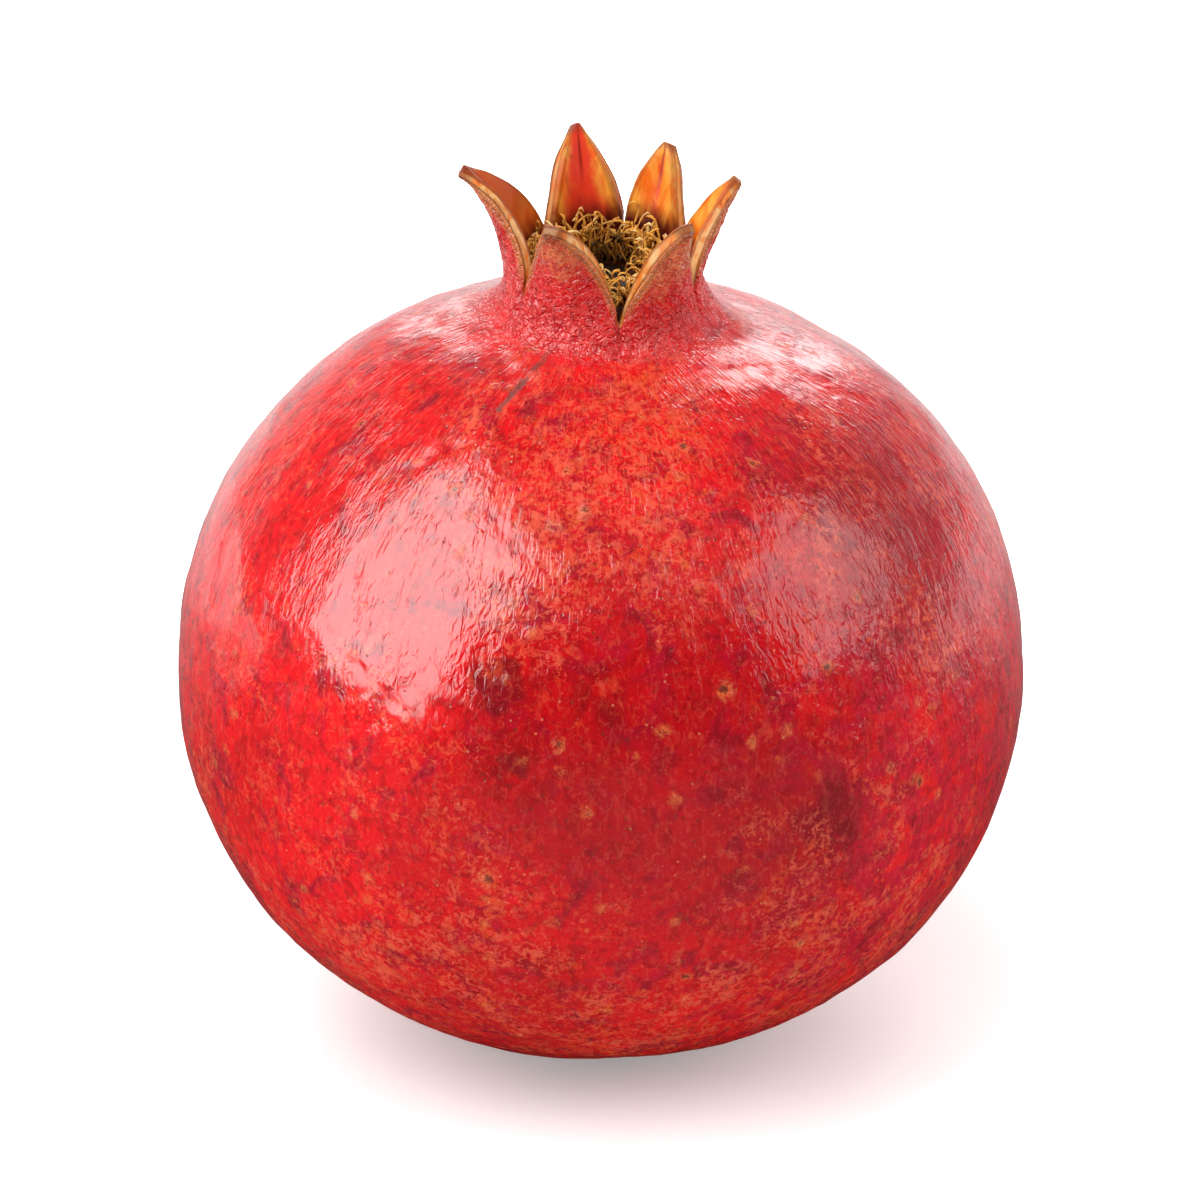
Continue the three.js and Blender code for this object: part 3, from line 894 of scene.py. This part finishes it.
speck = rind.cells(here, 4.2) * 4.2 + (curls - 0.5) * 2.4
spotted = rind.step(rind.noise(here, 9, 1) + 0.1 * (1 - rind.step(height, 20, 60)), 0.46, 0.56)
halo = (1 - rind.step(speck, 0.35, 1.0)) * spotted
heart = (1 - rind.step(speck, 0.08, 0.32)) * spotted
SCARS = [((-11.8, -44.8, 36.7), 1), ((12.9, -40.7, 56.7), 0.9), ((-4.2, -44.3, 52.1), 0.7), ((-1.6, -30.9, 72.8), 0.8)]
for place, radius in SCARS:
    halo = rind.math("MAXIMUM", halo, rind.near(here, place, radius * 0.3, radius * 1.6, curls))
    heart = rind.math("MAXIMUM", heart, rind.near(here, place, radius * 0.2, radius * 0.7, grains))
skin = rind.mix(halo * rind.step(grains, 0.36, 0.56) * 0.55, skin, OCHRE)
skin = rind.mix(heart * 0.75, skin, RUSSET)

SCRATCH = [(-10.6, -19.1, 79.1), (-7.6, -15.0, 81.0), (-5.1, -10.9, 82.7)]
scratch = 0.0
for start, end in zip(SCRATCH, SCRATCH[1:]):
    scratch = rind.math("MAXIMUM", scratch, rind.near_line(here, start, end, 0.0, 0.5, curls))
skin = rind.mix(scratch * 0.8, skin, RUSSET)
print("outside: reds, flecks, stripes, pores, scars and a scratch")

# %% Rind: colours of the crown
NECK_RED = from_screen(198, 8, 18)
NECK_PINK_HIGHLIGHT = from_screen(240, 70, 62)
TAN = from_screen(222, 132, 78)
BROWN_RED = from_screen(204, 58, 38)
AMBER = from_screen(240, 112, 6)
BROWN_AMBER = from_screen(178, 66, 2)
PALE_AMBER = from_screen(246, 168, 60)
INNER_RED = from_screen(230, 44, 30)
SHADE_MAROON = from_screen(84, 8, 3)
RIM_OCHRE = from_screen(208, 130, 58)
RIM_CREAM_AND_HIGHLIGHT = from_screen(234, 186, 124)
RIM_BROWN = from_screen(104, 46, 20)
TIP_BROWN = from_screen(118, 48, 24)

upright = rind.vector("MULTIPLY", here, (1, 1, 0.35))
worm = rind.math("ABSOLUTE", rind.noise(here, 0.9, 1.5, 0.45, 1.2) - 0.5)
# Painted highlight: the crests of the wrinkles are painted lighter, pink on the neck and tan or ochre towards the tips
# and edges, partly the dry crests' own colour.
crests = 1 - rind.step(worm, 0.01, 0.11)
veins = rind.noise(upright, 2.2, 4, 0.55, 0.9)
rosy = rind.mix(crests * 0.6, rind.mix(rind.step(veins, 0.4, 0.62), NECK_RED, BRIGHT_RED), NECK_PINK_HIGHLIGHT)
skin = rind.mix(neck * 0.85, skin, rosy)
drier_side = 0.2 * rind.step(east / MM, -2, 5)
towards_tip = rind.step(rise + (veins - 0.5) * 0.9 + drier_side, 0.28, 0.74)
skin = rind.mix(towards_tip * 0.9, skin, rind.mix(crests * 0.7 + towards_tip * 0.3, BROWN_RED, TAN))
to_edge = border - rise * 0.5
margin = (1 - rind.step(to_edge, 0.3, 1.1)) * rind.step(rise, 0.0, 0.25)
margin_line = rind.step(to_edge, 0.0, 0.25) * (1 - rind.step(to_edge, 0.35, 0.65)) * rind.step(rise, 0.05, 0.3)
skin = rind.mix(margin * 0.8, skin, rind.mix(crests, TAN, RIM_OCHRE))
skin = rind.mix(margin_line * 0.45, skin, RIM_BROWN)

inside = rind.mix(rind.step(veins, 0.42, 0.66), AMBER, PALE_AMBER)
redness = rind.step(rind.noise(upright, 2.4, 3, 0.5, 0.5) * 0.7 + blush * 0.58 - seam * 0.58, 0.28, 0.58)
inside = rind.mix(redness * 0.9, inside, INNER_RED)
inside = rind.mix(rind.step(rind.noise(upright, 0.9, 4, 0.6, 0.8), 0.56, 0.72) * 0.35, inside, RIM_BROWN)
inside = rind.mix((1 - rind.step(east / MM, -9, -5)) * 0.85, inside, BROWN_AMBER)
# Painted shade: maroon down the crease in the middle of each inner face, and over the foot of the inner faces and down
# the cup.
groove_shade = (1 - rind.step(seam, 0.02, 0.12)) * rind.step(rise, 0.35, 0.7) * 0.6
inside = rind.mix(groove_shade, inside, SHADE_MAROON)
inside = rind.mix(1 - rind.step(rise + veins * 0.3, 0.26, 0.52), inside, SHADE_MAROON)
dried_edge = (1 - rind.step(border, 0.15, 0.6)) * lobe * 0.4
inside = rind.mix(dried_edge, inside, RIM_BROWN)

edge_line = (1 - rind.step(depth, 0.05, 0.25)) + rind.step(depth + behind * 0.3, 0.76, 0.93)
dry = rind.noise(rind.vector("MULTIPLY", here, (1, 1, 0.25)), 0.9, 4, 0.55, 0.6)
rim_colour = rind.mix(rind.step(dry, 0.32, 0.5), AMBER, RIM_OCHRE)
# Cream streaks on the rim, more on the front lobes than behind: partly the dry rim's own colour, partly painted
# highlight.
cream_and_highlight = 0.85 - 0.6 * behind
rim_colour = rind.mix(rind.step(dry, 0.46, 0.6) * cream_and_highlight, rim_colour, RIM_CREAM_AND_HIGHLIGHT)
rim_colour = rind.mix((1 - rind.step(dry, 0.3, 0.4)) * 0.5 + edge_line * 0.7, rim_colour, RIM_BROWN)
colour = rind.mix(inner, skin, inside)
colour = rind.mix(rim * rind.step(rise, -0.02, 0.04), colour, rim_colour)
tip = rind.step(rise + (dry - 0.5) * 0.2, 0.86, 0.97)
colour = rind.mix(tip * 0.65, colour, TIP_BROWN)
print("crown: tan tips, amber inner faces, ochre rim")

# %% Rind: relief and gloss
wrinkle = rind.noise(along_ribs(0.5), 0.95, 2, 0.5, 1.2)
creased = 0.03 + 0.11 * rind.step(rind.noise(here, 7, 2), 0.44, 0.58) + 0.1 * rind.step(east / MM, 8, 22) * (1 - striped)
fibres = rind.noise(along_ribs(0.2), 0.8, 2, 0.5, 0.5)
swell_noise = rind.noise(here, 6.5, 2, 0.5, 0.3)
body_relief = wrinkle * creased + fibres * (0.015 + striped * 0.05) + swell_noise * 0.35
body_relief = body_relief - pits * 0.02 + pores * 0.015 + halo * 0.03 - scratch * 0.03
crown_relief = 0.4 - worm * 0.9
relief_height = body_relief + (crown_relief - body_relief) * neck
inner_grain = rind.noise(upright, 1.2, 3, 0.5, 0.8) * 0.12
relief_height = relief_height * (1 - inner) + inner_grain * inner
relief_height = relief_height * (1 - rim) + dry * 0.14 * rim

roughness = 0.165 + 0.16 * (grains - 0.5) + neck * 0.1 + halo * 0.1 + scratch * 0.3
surface = {"base_color": colour, "normal": rind.bump(relief_height)}
waxy = rind.shader(roughness=roughness, specular_ior_level=1.0, ior=1.6, **surface)
papery = rind.shader(roughness=0.42 + 0.2 * (veins - 0.5), specular_ior_level=0.4, **surface)
rind.finish(waxy, papery, rind.math("MAXIMUM", inner, rim))
print("rind:", len(rind.tree.nodes), "nodes")

# %% [markdown]
# ## The finish of the stamens and the stalk
#
# The threads are golden brown and papery, darker towards their roots where no light reaches, and paler near their
# tips, partly with painted highlight. The hole in their middle is painted near black as shade. The stub has grey-brown
# bark, and the cut end shows paler wood with darker rings.

# %% Stamens
GOLD = from_screen(246, 178, 74)
PALE_GOLD_AND_HIGHLIGHT = from_screen(255, 230, 160)
THREAD_BROWN = from_screen(66, 28, 8)
HOLE_SHADE = from_screen(24, 12, 5)

threads = new_paint(stamens, "stamens")
here = threads.node("TexCoord", None, None, output=3)
along = threads.node("Attribute", {"attribute_name": "along"}, None, output=2)
variety = threads.noise(here, 1.6, 3)
colour = threads.mix(threads.step(along, 0.1, 0.6), THREAD_BROWN, GOLD)
# Paler gold near the tips: partly the threads' own colour, partly painted highlight.
colour = threads.mix(threads.step(variety, 0.52, 0.7) * threads.step(along, 0.4, 0.9), colour, PALE_GOLD_AND_HIGHLIGHT)
colour = threads.mix(threads.step(variety, 0.5, 0.3) * 0.6, colour, THREAD_BROWN)
# Painted shade: the threads round the hole in the middle are painted near black, more so further down.
hole = HOLE_PLACE + Vector((CROWN_SHIFT, 0, 0))
from_hole = threads.vector("MULTIPLY", threads.vector("SUBTRACT", here, tuple(hole * MM)), (1, 1, 0))
hole_distance = threads.node("VectorMath", {"operation": "LENGTH"}, {0: from_hole}, output=1) / MM
deep = 1 - threads.step(threads.node("SeparateXYZ", None, {0: here}, output=2) / MM, 88.4, 90)
in_hole = 1 - threads.step(hole_distance, HOLE_RADIUS, HOLE_RADIUS + 0.7)
colour = threads.mix(in_hole * (0.55 + 0.4 * deep), colour, HOLE_SHADE)
grain = threads.noise(here, 0.35, 2)
threads.finish(threads.shader(base_color=colour, roughness=0.36 + 0.15 * variety, normal=threads.bump(grain * 0.04)))
print("stamens:", len(threads.tree.nodes), "nodes")

# %% Stalk
BARK = from_screen(98, 76, 54)
BARK_DARK = from_screen(52, 36, 26)
CUT_WOOD = from_screen(186, 150, 104)

wood = new_paint(stalk, "stalk")
here = wood.node("TexCoord", None, None, output=3)
place = wood.node("Mapping", None, {"Vector": here, "Location": tuple(-axis_offset)})
flat_place = wood.vector("MULTIPLY", place, (1, 1, 0))
distance = wood.node("VectorMath", {"operation": "LENGTH"}, {0: flat_place}, output=1) / MM
rings = wood.math("SINE", distance * 16 + wood.noise(here, 0.8, 3) * 3) * 0.5 + 0.5
bark = wood.mix(wood.step(wood.noise(here, 0.7, 5, 0.7), 0.4, 0.6), BARK_DARK, BARK)
cut = wood.mix(rings * 0.5, CUT_WOOD, BARK)
level = wood.node("SeparateXYZ", None, {0: here}, output=2) / MM
on_cut = (1 - wood.step(level, 0.84, 0.95)) * (1 - wood.step(distance, 1.6, 1.8))
wood.finish(wood.shader(
    base_color=wood.mix(on_cut, bark, cut),
    roughness=0.85 - 0.1 * on_cut,
    normal=wood.bump(wood.noise(here, 0.4, 4, 0.6) * 0.1 + rings * on_cut * 0.03),
))
print("stalk:", len(wood.tree.nodes), "nodes")

# %% [markdown]
# ## The floor and the light
#
# The fruit stands on a white table in a white studio, with a large soft box at the left and a weaker
# one at the right. The skin mirrors what is round it: where it faces the camera it mirrors the dim side
# of the room, which keeps its red deep, and on the shoulder and along the outline it mirrors white.

# %% Floor
table = bmesh.new()
bmesh.ops.create_grid(table, x_segments=4, y_segments=4, size=4)
table_mesh = bpy.data.meshes.new("table")
table.to_mesh(table_mesh)
table.free()
floor = bpy.data.objects.new("table", table_mesh)
bpy.context.scene.collection.objects.link(floor)
white = new_paint(floor, "table")
for_camera = white.node("LightPath")
for_diffuse, for_gloss = (Field(white, for_camera.socket.node.outputs[index]) for index in (2, 3))
place = white.node("TexCoord", output=3)
depth_of_room = white.node("SeparateXYZ", None, {0: place}, output=1)
from_fruit = white.node("VectorMath", {"operation": "LENGTH"}, {0: place}, output=1)
# Seen in the skin, the table is dim in front and bright behind. For the camera it also glows: painted light that is
# weaker near the fruit, so the contact shadow stays.
mirrored = 0.05 + 0.7 * white.step(depth_of_room, 0.02, 0.28)
shade = for_camera * 0.92 + for_diffuse * 0.92 + for_gloss * mirrored
glow = for_camera * (0.28 + 0.7 * white.step(from_fruit, 0.042, 0.088))
table_top = {"base_color": shade, "emission_color": glow, "emission_strength": 1}
white.finish(white.shader(roughness=0.7, specular_ior_level=0, **table_top))
print("floor: 8 m square")

# %% Room light
BACK_ROOM = 0.95
SIDE_ROOM = 0.14
FRONT_ROOM = 0.05

world = bpy.data.worlds.new("studio")
world.use_nodes = True
bpy.context.scene.world = world
studio = Paint(world.node_tree)
direction = studio.node("TexCoord")
inputs = {0: direction, 1: tuple(towards_camera)}
facing = studio.node("VectorMath", {"operation": "DOT_PRODUCT"}, inputs, output=1)
strength = BACK_ROOM - (BACK_ROOM - SIDE_ROOM) * studio.step(facing, -0.9, -0.45)
strength = strength - (SIDE_ROOM - FRONT_ROOM) * studio.step(facing, -0.2, 0.4)
seen = studio.node("LightPath")
strength = strength * (1 - seen) + seen
back = studio.node("Background", None, {"Color": (1, 1, 1, 1), "Strength": strength})
studio.node("OutputWorld", None, {"Surface": back})


def soft_box(name, azimuth, elevation, distance, width, height, strength, mirrored=True):
    """A square lamp that faces the fruit. Its azimuth runs from the camera's side towards the right."""
    lamp = bpy.data.lights.new(name, "AREA")
    lamp.shape = "RECTANGLE"
    lamp.size, lamp.size_y = width, height
    lamp.energy = strength * width * height * math.pi
    box = bpy.data.objects.new(name, lamp)
    rise_angle = math.radians(elevation)
    away = around(azimuth, math.cos(rise_angle), math.sin(rise_angle))
    box.location = Vector((0, 0, 0.045)) + away * distance
    box.rotation_euler = away.to_track_quat("Z", "Y").to_euler()
    box.visible_glossy = mirrored
    bpy.context.scene.collection.objects.link(box)
    print(name, "at", [round(value, 2) for value in box.location])


soft_box("left_soft_box", -69, 37, 1.2, 1.16, 1.3, 3.2)
soft_box("right_soft_box", 77, 34, 1.2, 0.95, 0.9, 1.2)
soft_box("back_soft_box", 177, 25, 1.3, 0.95, 0.7, 4.2)
soft_box("front_fill", 0, 66, 1.2, 1.4, 1.2, 1.8, mirrored=False)
soft_box("right_fill", 105, 12, 1.2, 1.2, 1.0, 1.9, mirrored=False)

bpy.context.scene.view_settings.view_transform = "Standard"
bpy.context.scene.view_settings.look = "None"
